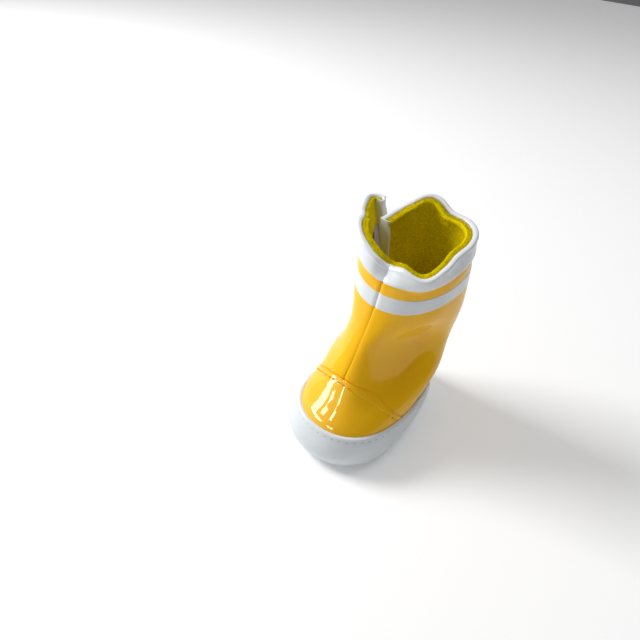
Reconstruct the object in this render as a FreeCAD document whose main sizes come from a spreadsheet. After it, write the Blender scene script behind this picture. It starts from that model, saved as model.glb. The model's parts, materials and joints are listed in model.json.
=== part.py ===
"""A doll-size rubber rain boot for the left foot, with a side flap that opens on hook-and-loop tape.

Frame: millimetres, +Z up, the toe towards -Y, the outer side of the foot towards +X.
The origin is on the ground, under the middle of the sole.
Places round the boot are angles in degrees: 0 at the toe, 90 at the outer side,
180 at the heel and 270 at the inner side.
"""
import FreeCAD, Part
import math
import os

from FreeCAD import Vector

DIMENSIONS = [
    ("foot_length", 71.7, "upper, toe to heel, without the foxing"),
    ("foot_width", 41.8, "upper, widest place of the foot"),
    ("boot_height", 84.0, "ground to the middle of the rim"),
    ("rim_rise", 9.5, "how much higher the rim is at the back than at the front"),
    ("shaft_width", 42.0, "upper at the rim, side to side"),
    ("shaft_depth", 38.0, "upper at the rim, front to back"),
    ("shaft_centre", 16.1, "origin back to the middle of the shaft"),
    ("ankle_width", 34.0, "upper at its narrowest, side to side"),
    ("ankle_height", 42.6, "height of the narrowest place"),
    ("instep_reach", 21.6, "origin to the front of the ankle's foot side"),
    ("fullness", 2.15, "power of the outline's curve: 2 is an ellipse, more is squarer"),
    ("upper_thickness", 1.1, "coated fabric of the upper"),
    ("lining_thickness", 2.2, "fleece lining"),
    ("flap_lining_thickness", 1.1, "thin fleece inside the flap"),
    ("glue_gap", 0.05, "between faces that are glued or sewn together"),
    ("seam_gap", 0.1, "between two panels that meet edge to edge"),
    ("outsole_thickness", 2.5, ""),
    ("board_thickness", 1.2, "insole board"),
    ("footbed_thickness", 2.4, ""),
    ("footbed_round", 0.8, "rounding of the footbed's top edge"),
    ("foxing_height", 16.8, "ground to the top of the foxing strip"),
    ("foxing_lift", 0.4, "ground to the bottom of the foxing strip"),
    ("foxing_thickness", 1.3, ""),
    ("cap_side_reach", 7.0, "origin forward to the toe cap's seam at the top of the foxing"),
    ("cap_top_reach", 20.3, "origin forward to the toe cap's seam at the top of the foot"),
    ("cap_top_height", 32.6, "ground to the toe cap's seam at the top of the foot"),
    ("binding_height", 7.0, "rim binding, on the outside"),
    ("binding_thickness", 0.6, ""),
    ("stripe_drop", 12.3, "rim down to the top of the stripe"),
    ("stripe_height", 6.5, ""),
    ("stripe_thickness", 0.3, ""),
    ("cap_wrap", 100.0, "angle, each side of the toe, that the toe cap's blank reaches"),
    ("side_seam", 285.0, "angle of the side seam, where the flap is sewn on"),
    ("flap_end", 228.0, "angle of the flap's free edge when closed"),
    ("flap_bottom", 35.0, "ground to the flap's lower edge and the end of the slit"),
    ("flap_gap", 0.4, "between the two tapes, and below the flap"),
    ("root_gap", 0.8, "between the flap's root and the side seam"),
    ("hinge_clearance", 0.15, "flap's turning line to the outside of the binding"),
    ("flap_rest_open", 22.0, "degrees that the flap stands open at rest"),
    ("underlap_end", 264.0, "angle of the end of the wall that goes under the flap"),
    ("tuck_start", 194.0, "angle where the wall starts to go inwards, under the flap"),
    ("tuck_drop", 9.0, "height over which the wall goes inwards below the slit"),
    ("tape_thickness", 0.7, "hook tape and loop tape, each"),
    ("tape_bottom", 47.0, ""),
    ("tape_drop", 12.0, "rim down to the top of the tapes"),
    ("tape_start", 233.0, "angle of the tapes' rear edge"),
    ("tape_end", 256.0, "angle of the tapes' front edge"),
    ("thread_radius", 0.28, ""),
    ("stitch_length", 1.5, ""),
    ("foxing_stitch_pitch", 3.0, ""),
    ("foxing_stitch_drop", 1.5, "below the top edge of the foxing"),
    ("cap_stitch_pitch", 2.5, ""),
    ("cap_stitch_inset", 1.6, "in front of the toe cap's seam"),
    ("tape_stitch_pitch", 2.5, ""),
    ("tape_stitch_inset", 1.2, "inside the edge of the tapes"),
]

doc = FreeCAD.newDocument("RainBoot")
sheet = doc.addObject("Spreadsheet::Sheet", "Dimensions")
for row, (alias, value, note) in enumerate(DIMENSIONS, start=1):
    sheet.set(f"A{row}", alias)
    sheet.set(f"B{row}", str(value))
    sheet.set(f"C{row}", note)
    sheet.setAlias(f"B{row}", alias)
doc.recompute()
size = {alias: float(sheet.get(alias)) for alias, _, _ in DIMENSIONS}

LEVEL_STEP = 3.0        # height between the points of a panel
ANGLE_STEP = 6.0        # degrees between the points of a panel
FOOT_CENTRE_SHARE = 0.32  # widest place of the foot, as a share of its length from the toe

TOE = -size["foot_length"] / 2
HEEL = size["foot_length"] / 2
FOOT_HALF = size["foot_width"] / 2
SHAFT_HALF = size["shaft_width"] / 2
SHAFT_CENTRE = size["shaft_centre"]
SHAFT_FRONT = SHAFT_CENTRE - size["shaft_depth"] / 2
SHAFT_BACK = SHAFT_CENTRE + size["shaft_depth"] / 2
ANKLE_HALF = size["ankle_width"] / 2
RIM = size["boot_height"]
ANKLE = size["ankle_height"]
INSTEP = -size["instep_reach"]

# The upper's outer surface: height, front Y, back Y and half width of each key section.
SECTIONS = [
    (0.0, TOE + 2.3, HEEL - 2.4, FOOT_HALF - 1.4),
    (5.0, TOE, HEEL - 0.6, FOOT_HALF - 0.5),
    (13.0, TOE + 1.2, HEEL, FOOT_HALF),
    (20.0, TOE + 4.2, HEEL, FOOT_HALF - 0.7),
    (0.65 * ANKLE, (TOE + 4.2 + INSTEP) / 2 + 2.0, HEEL - 0.2, (FOOT_HALF + ANKLE_HALF) / 2 + 0.1),
    (0.84 * ANKLE, INSTEP + 2.4, HEEL - 0.2, ANKLE_HALF + 0.5),
    (1.08 * ANKLE, INSTEP + 7.8, SHAFT_BACK + 1.3, ANKLE_HALF),
    ((ANKLE + RIM) / 2 + 2.0, SHAFT_FRONT - 3.6, SHAFT_BACK + 1.0, ANKLE_HALF + 0.6 * (SHAFT_HALF - ANKLE_HALF)),
    (RIM, SHAFT_FRONT, SHAFT_BACK, SHAFT_HALF),
]


def smooth(share):
    """0 to 1 with no corner at either end."""
    share = min(max(share, 0.0), 1.0)
    return share * share * (3.0 - 2.0 * share)


def profile(height, column):
    """A column of SECTIONS at a height, on a smooth curve through the key sections."""
    height = min(max(height, 0.0), RIM)
    heights = [section[0] for section in SECTIONS]
    values = [section[column] for section in SECTIONS]
    last = len(SECTIONS) - 1
    slopes = []
    for i in range(last + 1):
        below, above = max(i - 1, 0), min(i + 1, last)
        slopes.append((values[above] - values[below]) / (heights[above] - heights[below]))
    i = max(k for k in range(last) if heights[k] <= height)
    span = heights[i + 1] - heights[i]
    u = (height - heights[i]) / span
    return (
        values[i] * (1 + 2 * u) * (1 - u) ** 2
        + slopes[i] * span * u * (1 - u) ** 2
        + values[i + 1] * u * u * (3 - 2 * u)
        + slopes[i + 1] * span * u * u * (u - 1)
    )


def centre(height):
    """Y of the point that the angles are measured round, at a height."""
    front, back = profile(height, 1), profile(height, 2)
    foot = front + FOOT_CENTRE_SHARE * (back - front)
    rise = smooth((height - 13.0) / (ANKLE - 13.0))
    return foot + rise * (SHAFT_CENTRE - foot)


def radius(height, angle):
    """Distance from the centre to the upper's outer surface."""
    turn = math.radians(angle)
    middle = centre(height)
    ahead = math.cos(turn) > 0
    reach = middle - profile(height, 1) if ahead else profile(height, 2) - middle
    power = size["fullness"]
    across = abs(math.sin(turn) / profile(height, 3)) ** power
    along = abs(math.cos(turn) / reach) ** power
    return (across + along) ** (-1 / power)


def bare_point(height, angle):
    """A point of the upper's outer surface, before the sections are tilted."""
    turn = math.radians(angle)
    reach = radius(height, angle)
    return Vector(reach * math.sin(turn), centre(height) - reach * math.cos(turn), height)


def slant(height, angle):
    """How far outwards from the centre a wall 1 mm thick reaches, where the surface leans."""
    round_it = bare_point(height, angle + 1.0) - bare_point(height, angle - 1.0)
    low, high = max(height - 1.0, 0.0), min(height + 1.0, RIM)
    up_it = bare_point(high, angle) - bare_point(low, angle)
    normal = round_it.cross(up_it).normalize()
    turn = math.radians(angle)
    return 1.0 / abs(normal.dot(Vector(math.sin(turn), -math.cos(turn), 0)))


def rim_slope(height):
    """Rise per mm of Y: the sections tilt little by little from the ankle to the rim."""
    return size["rim_rise"] / size["shaft_depth"] * smooth((height - 0.8 * ANKLE) / (RIM - 0.8 * ANKLE))


UNDERLAP_DEPTH = (
    size["upper_thickness"] + size["flap_lining_thickness"] + 3 * size["glue_gap"]
    + 2 * size["tape_thickness"] + size["flap_gap"]
)


def tuck(height, angle):
    """How far the wall that goes under the flap lies inside the outer surface."""
    rise = smooth((height - size["flap_bottom"] + size["tuck_drop"]) / size["tuck_drop"])
    around = smooth((angle - size["tuck_start"]) / (size["flap_end"] - 2.0 - size["tuck_start"]))
    return UNDERLAP_DEPTH * rise * around


def closed_tuck(height, angle):
    """The same below the slit, where the wall comes out again to the side seam."""
    back_out = smooth((angle - size["underlap_end"]) / (size["side_seam"] - size["underlap_end"]))
    return tuck(height, angle) * (1.0 - back_out)


def flush(height, angle):
    """No tuck."""
    return 0.0


def surface_point(height, angle, out, depth=flush):
    """A point `out` mm outside the upper's outer surface, less the depth of a tuck."""
    turn = math.radians(angle)
    reach = radius(height, angle) + (out - depth(height, angle % 360)) * slant(height, angle)
    y = centre(height) - reach * math.cos(turn)
    return Vector(reach * math.sin(turn), y, height + rim_slope(height) * (y - SHAFT_CENTRE))


def steps(start, end, spacing):
    """Even steps from start to end, no longer than the spacing."""
    count = max(2, math.ceil(abs(end - start) / spacing))
    return [start + (end - start) * i / count for i in range(count + 1)]


def grid(start, end, spacing):
    """The multiples of the spacing between two ends, with the ends themselves."""
    first, last = math.floor(start / spacing) + 1, math.ceil(end / spacing) - 1
    inner = [i * spacing for i in range(first, last + 1)]
    clear = spacing / 3
    return [start] + [value for value in inner if start + clear < value < end - clear] + [end]


def skin(low, high, start, end, out, depth):
    """A smooth face at a distance outwards from the upper's outer surface."""
    surface = Part.BSplineSurface()
    surface.interpolate([
        [surface_point(height, angle, out, depth) for height in grid(low, high, LEVEL_STEP)]
        for angle in grid(start, end, ANGLE_STEP)
    ])
    return surface


def panel(low, high, start, end, inside, outside, depth=flush):
    """A curved wall: heights low to high, angles start to end, between two distances outwards."""
    outer = skin(low, high, start, end, outside, depth)
    inner = skin(low, high, start, end, inside, depth)
    faces = [outer.toShape(), inner.toShape()]
    u_first, u_last, v_first, v_last = outer.bounds()
    for one, other in (
        (outer.uIso(u_first), inner.uIso(u_first)),
        (outer.uIso(u_last), inner.uIso(u_last)),
        (outer.vIso(v_first), inner.vIso(v_first)),
        (outer.vIso(v_last), inner.vIso(v_last)),
    ):
        faces.append(Part.makeRuledSurface(one.toShape(), other.toShape()))
    shell = Part.makeShell(faces)
    shell.sewShape()
    wall = Part.makeSolid(shell)
    if wall.Volume < 0:
        wall.reverse()
    return wall


def edge_binding(start, end, depth=flush):
    """A strip folded over the rim: an outer leg, and a top that covers the panel's edge."""
    face, thick = size["glue_gap"], size["binding_thickness"]
    inner = -size["upper_thickness"]
    corners = [
        (RIM - size["binding_height"], face),
        (RIM - size["binding_height"], face + thick),
        (RIM + face + thick, face + thick),
        (RIM + face + thick, inner),
        (RIM + face, inner),
        (RIM + face, face),
    ]
    wires = []
    for angle in steps(start, end, ANGLE_STEP):
        points = []
        for height, out in corners:
            point = surface_point(min(height, RIM), angle, out, depth)
            points.append(point + Vector(0, 0, max(height - RIM, 0)))
        wires.append(Part.makePolygon(points + points[:1]))
    return Part.makeLoft(wires, True, False)


# A thread lies clear of the face that it crosses, because it is straight and the face isn't.
THREAD_OUT = size["thread_radius"] + size["seam_gap"] / 2


def stitch(middle, along):
    """One short thread, laid along a direction."""
    along = Vector(along).normalize()
    start = middle - along * (size["stitch_length"] / 2)
    return Part.makeCylinder(size["thread_radius"], size["stitch_length"], start, along)


def stitches(path, pitch):
    """Stitches at an even pitch along a list of close points."""
    travelled = [0.0]
    for one, other in zip(path, path[1:]):
        travelled.append(travelled[-1] + one.distanceToPoint(other))
    count = max(1, int(travelled[-1] / pitch))
    threads = []
    for i in range(count):
        place = (i + 0.5) * travelled[-1] / count
        k = max(j for j in range(len(path) - 1) if travelled[j] <= place)
        share = (place - travelled[k]) / (travelled[k + 1] - travelled[k])
        along = path[k + 1] - path[k]
        threads.append(stitch(path[k] + along * share, along))
    return threads


def tape_stitches(spans, depth=flush):
    """Stitches round the edge of a tape. Each span of heights has its own distance outwards.

    A span too short for one stitch gets none.
    """
    inset = size["tape_stitch_inset"]
    turn = math.degrees(inset / SHAFT_HALF)
    start, end = size["tape_start"] + turn, size["tape_end"] - turn
    bottom, top = size["tape_bottom"] + inset, tape_top - inset
    threads = []
    for low, high, out in spans:
        if high - low < size["stitch_length"]:
            continue
        lines = [[surface_point(height, angle, out, depth) for height in steps(low, high, 1.0)] for angle in (start, end)]
        for height in (low, high):
            if height in (bottom, top):
                lines.append([surface_point(height, angle, out, depth) for angle in steps(start, end, 1.0)])
        for line in lines:
            threads += stitches(line, size["tape_stitch_pitch"])
    return threads


# The toe cap ends at a slanted plane, which goes up and forward from the top of the foxing.
CAP_SIDE = Vector(0, -size["cap_side_reach"], size["foxing_height"])
CAP_TOP = Vector(0, -size["cap_top_reach"], size["cap_top_height"])
CAP_LINE = (CAP_TOP - CAP_SIDE).normalize()
CAP_FORWARD = Vector(1, 0, 0).cross(CAP_LINE).normalize()
if CAP_FORWARD.y > 0:
    CAP_FORWARD = -CAP_FORWARD


def space_ahead(forward):
    """A block that holds all in front of the toe cap's plane, moved forward by a distance."""
    reach = 3 * size["foot_length"]
    block = Part.makeBox(reach, reach, reach, Vector(-reach / 2, -reach / 2, 0))
    turn = FreeCAD.Rotation(Vector(0, 0, 1), CAP_FORWARD)
    block.Placement = FreeCAD.Placement(CAP_SIDE + CAP_FORWARD * forward, turn)
    return block


def cap_line_point(angle, forward, out):
    """Where the upper's surface crosses the toe cap's plane, moved forward by a distance."""
    low, high = 0.0, ANKLE
    for _ in range(40):
        middle = (low + high) / 2
        ahead = (surface_point(middle, angle, 0) - CAP_SIDE).dot(CAP_FORWARD) - forward
        if ahead > 0:
            low = middle
        else:
            high = middle
    return surface_point(low, angle, out)


parts = []


def add_feature(name, shape):
    """A sub-part whose shape is made from curved panels."""
    feature = doc.addObject("Part::Feature", name)
    feature.Label = name
    feature.Shape = shape
    parts.append(feature)
    return feature


def add_sole_layer(name, height, out, thickness, base, rounding=None):
    """A flat layer under the foot: a padded sketch of the last's outline."""
    body = doc.addObject("PartDesign::Body", name)
    body.Label = name
    sketch = body.newObject("Sketcher::SketchObject", name + "_outline")
    planes = {plane.Role: plane for plane in body.Origin.OriginFeatures}
    sketch.AttachmentSupport = (planes["XY_Plane"], [""])
    sketch.MapMode = "FlatFace"
    outline = Part.BSplineCurve()
    points = [surface_point(height, angle, out) for angle in steps(0, 360, ANGLE_STEP)[:-1]]
    outline.interpolate(Points=[Vector(p.x, p.y, 0) for p in points], PeriodicFlag=True)
    sketch.addGeometry(outline, False)
    doc.recompute()
    pad = body.newObject("PartDesign::Pad", name + "_thickness")
    pad.Profile = sketch
    pad.setExpression("Length", f"Dimensions.{thickness}")
    doc.recompute()
    if rounding:
        fillet = body.newObject("PartDesign::Fillet", name + "_edge")
        top = max(pad.Shape.Edges, key=lambda edge: edge.BoundBox.ZMin)
        number = [edge.isSame(top) for edge in pad.Shape.Edges].index(True) + 1
        fillet.Base = (pad, [f"Edge{number}"])
        fillet.setExpression("Radius", f"Dimensions.{rounding}")
        body.Tip = fillet
    if base:
        body.setExpression("Placement.Base.z", base)
    parts.append(body)
    return body


# Distances outwards from the upper's outer surface, and heights, that several pieces share.
glue = size["glue_gap"]
upper_inside = -size["upper_thickness"]
lining_outside = upper_inside - size["seam_gap"]
lining_inside = lining_outside - size["lining_thickness"]
foxing_face = glue + size["foxing_thickness"]
upper_bottom = size["outsole_thickness"] + glue
lining_bottom = upper_bottom + size["board_thickness"] + glue
slit = size["flap_bottom"]
seam = size["side_seam"]
half_seam = math.degrees(size["seam_gap"] / 2 / SHAFT_HALF)
stripe_top = RIM - size["stripe_drop"]
stripe_bottom = stripe_top - size["stripe_height"]
tape_top = RIM - size["tape_drop"]


def make_sole():
    add_sole_layer("outsole", 0.0, -2 * glue, "outsole_thickness", None)
    add_sole_layer(
        "insole_board", upper_bottom, upper_inside - size["seam_gap"], "board_thickness",
        "Dimensions.outsole_thickness + Dimensions.glue_gap",
    )
    add_sole_layer(
        "footbed", lining_bottom, lining_inside - size["seam_gap"], "footbed_thickness",
        "Dimensions.outsole_thickness + Dimensions.board_thickness + 2 * Dimensions.glue_gap",
        rounding="footbed_round",
    )


def make_foxing():
    top = size["foxing_height"]
    add_feature("foxing", panel(size["foxing_lift"], top, seam - 360, seam - half_seam, glue, foxing_face))
    height = top - size["foxing_stitch_drop"]
    out = foxing_face + THREAD_OUT
    path = [surface_point(height, angle, out) for angle in steps(0, 360, 2.0)]
    add_feature("foxing_stitches", Part.makeCompound(stitches(path, size["foxing_stitch_pitch"])))


def make_toe_cap():
    wrap = size["cap_wrap"]
    front = panel(upper_bottom, ANKLE, -wrap, wrap, upper_inside, 0)
    add_feature("toe_cap", front.common(space_ahead(size["seam_gap"] / 2)))
    path = [cap_line_point(angle, size["cap_stitch_inset"], THREAD_OUT) for angle in steps(12 - wrap, wrap - 12, 1.0)]
    shown = [point for point in path if point.z > size["foxing_height"] + size["stitch_length"]]
    add_feature("toe_cap_stitches", Part.makeCompound(stitches(shown, size["cap_stitch_pitch"])))


def slit_space():
    """All that lies above the flap's lower edge between the underlap's end and the side seam."""
    reach = 2 * size["boot_height"]
    points = [Vector(0, SHAFT_CENTRE, 0)]
    for angle in (size["underlap_end"], size["side_seam"] + 10.0):
        turn = math.radians(angle)
        points.append(points[0] + Vector(reach * math.sin(turn), -reach * math.cos(turn), 0))
    wedge = Part.Face(Part.makePolygon(points + points[:1])).extrude(Vector(0, 0, reach))
    wedge.translate(Vector(0, 0, slit))
    return wedge


def make_quarters():
    behind = space_ahead(-size["seam_gap"] / 2)
    inner = panel(upper_bottom, RIM, seam - 360, -half_seam, upper_inside, 0)
    add_feature("inner_quarter", inner.cut(behind))
    outer = panel(upper_bottom, RIM, half_seam, seam - 2 * half_seam, upper_inside, 0, closed_tuck)
    add_feature("outer_quarter", outer.cut(behind).cut(slit_space()))


def shaft_tuck(height, angle):
    """The tuck of a piece that starts at the side seam and ends with the underlap."""
    return tuck(height, angle) if angle <= size["underlap_end"] else 0.0


def make_lining():
    add_feature("lining_foot", panel(lining_bottom, slit - size["seam_gap"], half_seam, 360 - half_seam,
                                     lining_inside, lining_outside, closed_tuck))
    add_feature("lining_shaft", panel(slit, RIM, seam - 360, size["underlap_end"], lining_inside,
                                      lining_outside, shaft_tuck))


def make_rim():
    add_feature("binding_inner", edge_binding(seam - 360, -half_seam))
    add_feature("binding_outer", edge_binding(half_seam, size["underlap_end"], tuck))
    out = glue + size["stripe_thickness"]
    add_feature("stripe_inner", panel(stripe_bottom, stripe_top, seam - 360, -half_seam, glue, out))
    add_feature("stripe_outer", panel(stripe_bottom, stripe_top, half_seam, size["flap_end"] + 2.0,
                                      glue, out, tuck))


def make_loop_tape():
    low, high, inset = size["tape_bottom"], tape_top, size["tape_stitch_inset"]
    face = glue + size["tape_thickness"]
    tape = panel(low, high, size["tape_start"], size["tape_end"], glue, face, tuck)
    threads = Part.makeCompound(tape_stitches([(low + inset, high - inset, face - size["thread_radius"] / 2)], tuck))
    add_feature("loop_tape", tape.cut(threads))
    add_feature("loop_tape_stitches", threads)


# The flap turns about a line just outside the side seam.
HINGE_OUT = glue + size["binding_thickness"] + size["hinge_clearance"]
HINGE_LOW = surface_point(slit, seam, HINGE_OUT)
HINGE_HIGH = surface_point(RIM, seam, HINGE_OUT)
HINGE_AXIS = (HINGE_HIGH - HINGE_LOW).normalize()


def make_flap():
    """The flap's pieces, made closed and then turned open to where they rest."""
    root = seam - math.degrees(size["root_gap"] / ANKLE_HALF)
    end = size["flap_end"]
    fleece_outside = upper_inside - glue
    fleece_inside = fleece_outside - size["flap_lining_thickness"]
    tape_face = fleece_inside - glue
    bottom = slit + size["flap_gap"]
    low, high = size["tape_bottom"], tape_top
    start_tape, end_tape = size["tape_start"], size["tape_end"]
    margin = math.degrees(size["binding_thickness"] / SHAFT_HALF)
    stripe_face = glue + size["stripe_thickness"]
    inset, clear = size["tape_stitch_inset"], size["seam_gap"]
    threads = tape_stitches([
        (low + inset, stripe_bottom - clear, THREAD_OUT),
        (stripe_bottom + clear, high - inset, stripe_face + THREAD_OUT),
    ])
    shapes = {
        "flap_panel": panel(bottom, RIM, end, root, upper_inside, 0),
        "flap_lining": panel(bottom + size["binding_thickness"], RIM, end + margin, root, fleece_inside, fleece_outside),
        "flap_binding": edge_binding(end, root),
        "flap_stripe": panel(stripe_bottom, stripe_top, end, root, glue, stripe_face),
        "hook_tape": panel(low, high, start_tape, end_tape, tape_face - size["tape_thickness"], tape_face),
        "hook_tape_stitches": Part.makeCompound(threads),
    }
    for name, shape in shapes.items():
        opened = shape.copy()
        opened.rotate(HINGE_LOW, HINGE_AXIS, size["flap_rest_open"])
        add_feature(name, opened)


make_sole()
make_foxing()
make_toe_cap()
make_quarters()
make_lining()
make_rim()
make_loop_tape()
make_flap()
doc.recompute()

for item in doc.Objects:
    if "Invalid" in item.State or "Error" in item.State:
        raise RuntimeError(f"{item.Name} failed: {item.State}")
for part in parts:
    if part.Shape.isNull() or not part.Shape.isValid() or part.Shape.Volume <= 0:
        raise RuntimeError(f"{part.Label} has no valid shape")

os.makedirs("parts", exist_ok=True)
for part in parts:
    part.Shape.exportStep(f"parts/{part.Label}.step")
    print(part.Label, round(part.Shape.Volume, 1), len(part.Shape.Solids))
print("hinge at", HINGE_LOW, "along", HINGE_AXIS)
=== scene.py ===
"""A doll-size rubber rain boot for the left foot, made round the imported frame.

Heights and distances are worked out in millimetres and become metres in the meshes.
Places round the boot are angles in degrees: 0 at the toe, 90 at the outer side,
180 at the heel and 270 at the inner side.
"""
import json
import math
import random

import bmesh
import bpy
import numpy as np
from mathutils import Matrix, Vector, noise


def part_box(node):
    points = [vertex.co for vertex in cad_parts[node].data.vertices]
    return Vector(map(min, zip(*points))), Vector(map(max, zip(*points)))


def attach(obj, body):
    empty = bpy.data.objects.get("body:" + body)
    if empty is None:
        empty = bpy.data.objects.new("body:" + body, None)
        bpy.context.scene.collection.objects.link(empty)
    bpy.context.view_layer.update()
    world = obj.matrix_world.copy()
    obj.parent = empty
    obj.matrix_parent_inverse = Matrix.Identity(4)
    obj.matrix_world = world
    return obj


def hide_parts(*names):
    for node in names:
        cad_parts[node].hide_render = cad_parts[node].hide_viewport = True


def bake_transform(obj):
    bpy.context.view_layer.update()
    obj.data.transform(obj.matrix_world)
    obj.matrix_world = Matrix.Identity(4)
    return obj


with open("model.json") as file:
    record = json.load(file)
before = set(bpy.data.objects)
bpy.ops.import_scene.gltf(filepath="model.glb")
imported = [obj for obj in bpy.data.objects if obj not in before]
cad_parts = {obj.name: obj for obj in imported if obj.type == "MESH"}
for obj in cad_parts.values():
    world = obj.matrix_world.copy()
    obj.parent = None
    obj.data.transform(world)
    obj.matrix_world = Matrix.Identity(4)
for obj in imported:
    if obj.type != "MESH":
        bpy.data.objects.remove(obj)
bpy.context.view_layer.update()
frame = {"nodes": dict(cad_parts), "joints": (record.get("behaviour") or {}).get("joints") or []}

bl_info = {
    "name": "Rubber rain boot",
    "version": (1, 0, 0),
    "blender": (4, 5, 0),
    "location": "3D View > Sidebar > Rain boot",
    "description": "Makes a small lined rain boot with a side flap",
    "category": "Object",
}

MM = 0.001
TOE_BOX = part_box("toe_cap")
QUARTER_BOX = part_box("outer_quarter")
FOXING_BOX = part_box("foxing")
JOINT = frame["joints"][0]
HINGE = Vector(JOINT["pos_m"])
HINGE_AXIS = Vector(JOINT["axis"]).normalized()


# Settings -------------------------------------------------------------------------------------

def length(name, default, description):
    """A length in metres that a user can change."""
    return bpy.props.FloatProperty(name=name, description=description, default=default, min=0.0,
                                   precision=5, subtype="DISTANCE", unit="LENGTH")


def colour(name, hex_value, description):
    """A colour, given in sRGB hex, that a user can change."""
    return bpy.props.FloatVectorProperty(name=name, description=description, size=3, min=0.0, max=1.0,
                                         default=linear(hex_value), subtype="COLOR")


def linear(hex_value):
    """An sRGB hex colour as linear red, green and blue."""
    channels = [int(hex_value[i:i + 2], 16) / 255 for i in (1, 3, 5)]
    return tuple(c / 12.92 if c <= 0.04045 else ((c + 0.055) / 1.055) ** 2.4 for c in channels)


class BootSizes(bpy.types.PropertyGroup):
    """Sizes that the pieces share."""
    foot_length: length("Foot length", QUARTER_BOX[1].y - TOE_BOX[0].y, "Upper, toe to heel")
    foot_width: length("Foot width", TOE_BOX[1].x - TOE_BOX[0].x, "Upper, widest place of the foot")
    boot_height: length("Boot height", 0.084, "Ground to the middle of the rim")
    rim_rise: length("Rim rise", 0.0095, "How much higher the rim is at the back")
    shaft_width: length("Shaft width", 0.042, "Upper at the rim, side to side")
    shaft_depth: length("Shaft depth", 0.038, "Upper at the rim, front to back")
    ankle_width: length("Ankle width", 0.034, "Upper at its narrowest, side to side")
    ankle_height: length("Ankle height", 0.0426, "Height of the narrowest place")
    upper_thickness: length("Upper thickness", 0.0011, "Coated fabric")
    lining_thickness: length("Lining thickness", 0.0022, "Fleece")
    foxing_height: length("Foxing height", FOXING_BOX[1].z, "Ground to the top of the foxing")
    foxing_thickness: length("Foxing thickness", 0.0013, "Foxing strip")
    binding_height: length("Binding height", 0.007, "Rim binding on the outside")
    stripe_drop: length("Stripe drop", 0.0123, "Rim down to the top of the stripe")
    stripe_height: length("Stripe height", 0.0065, "White stripe")
    foxing_pitch: length("Foxing stitch pitch", 0.003, "Stitch to stitch along the foxing")
    cap_pitch: length("Toe cap stitch pitch", 0.0025, "Stitch to stitch along the toe cap")


class BootColours(bpy.types.PropertyGroup):
    """Colours of the finishes."""
    upper: colour("Upper", "#FFCB00", "Glossy yellow coating")
    upper_deep: colour("Upper, deep", "#FFB600", "The same where the coating is thicker")
    trim: colour("Trim", "#E4E9EC", "White coated fabric")
    foxing: colour("Foxing", "#E2E8EB", "White foxing strip")
    fleece: colour("Fleece", "#F0DC00", "Yellow-green fleece, tips of the pile")
    # Fleece root: the fleece's colour darkened, as painted shade at the roots of the pile.
    fleece_root_shade: colour("Fleece root", "#C4AE00", "The same, roots of the pile")
    orange_thread: colour("Orange thread", "#F08A10", "Thread of the toe cap and the flap")
    white_thread: colour("White thread", "#B9C2C6", "Thread of the foxing")
    tape: colour("Tape", "#B7AEA4", "Hook-and-loop tape")
    board: colour("Insole board", "#B9A98C", "Fibre board")
    board_dark: colour("Insole board, dark", "#9A8A6E", "The same, darker fibres")
    floor: colour("Floor", "#FFFFFF", "Studio floor")


def mm(name):
    """A size in millimetres."""
    return getattr(bpy.context.scene.boot_sizes, name) / MM


def paint(name):
    """A finish's colour with full cover."""
    return tuple(getattr(bpy.context.scene.boot_colours, name)) + (1.0,)


def darker(tone, share):
    return tuple(share * channel for channel in tone[:3]) + (1.0,)


# The boot's shape -----------------------------------------------------------------------------

FULLNESS = 2.15           # power of the outline's curve: 2 is an ellipse, more is squarer
SHAFT_CENTRE = 16.1       # Y of the middle of the shaft
FOOT_CENTRE_SHARE = 0.32  # widest place of the foot, as a share of its length from the toe
SIDE_SEAM = 285.0         # angle of the side seam, where the flap is sewn on
FLAP_END = 228.0          # angle of the flap's free edge when closed
UNDERLAP_END = 264.0      # angle of the end of the wall that goes under the flap
TUCK_START = 194.0        # angle where that wall starts to go inwards
TUCK_DROP = 9.0           # height over which it goes inwards below the slit
UNDERLAP_DEPTH = 4.15     # how far it ends up inside
SLIT = 35.0               # height of the flap's lower edge
CAP_SIDE = np.array([0.0, -7.0, 16.8])    # toe cap's seam at the top of the foxing
CAP_TOP = np.array([0.0, -20.3, 32.6])    # toe cap's seam at the top of the foot

# How the soft rim is bent: angle, mm outwards, mm upwards.
RIM_BENDS = [
    (0, -2.2, -3.8), (20, 0.2, -0.7), (42, 2.6, -2.0), (62, 0.3, -0.3), (80, -2.0, 0.2), (100, -1.2, 0.6),
    (120, -0.9, 0.0), (145, -0.9, -0.9), (168, -1.4, -0.9), (190, 0.4, 1.4), (208, 0.6, 2.2), (226, 0.2, 1.2),
    (246, 0.0, -1.6), (264, 0.6, -3.2), (285, 1.8, 0.2), (305, 1.0, 0.2), (325, 0.2, -0.4), (343, -0.3, -1.6),
]
RIM_BEND_REACH = 10.0     # how far down the bends of the rim die out

# The same for the flap's own rim.
FLAP_BENDS = [
    (0, -1.5, 0.0), (120, 0.0, 0.0), (226, 0.8, -2.8), (240, 1.0, -1.8), (255, 1.4, -0.8), (270, 1.8, 0.0),
    (285, 1.8, 0.2), (305, 1.0, 0.2), (325, 0.2, -0.4), (343, -0.3, -1.6),
]

# The same for the shaft as a whole.
SHAFT_BENDS = [
    (0, 0.0, -0.4), (45, 0.2, -0.4), (90, 0.4, 0.0), (135, 0.8, 0.4), (180, 0.0, 0.0), (225, 0.0, 0.0),
    (270, 0.5, 0.6), (315, 0.3, 1.0),
]
SHAFT_BEND_REACH = 40.0

# Soft dents and, with a minus, bulges: height, angle, mm deep, mm half height, degrees half width.
DENTS = [
    (31.0, 66.0, 0.9, 5.0, 24.0),
    (50.0, 128.0, -4.4, 19.0, 45.0),
    (26.0, 118.0, -2.0, 9.0, 34.0),
    (51.0, 308.0, 1.3, 8.0, 40.0),
    (33.0, 308.0, -1.3, 5.0, 34.0),
]

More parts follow.
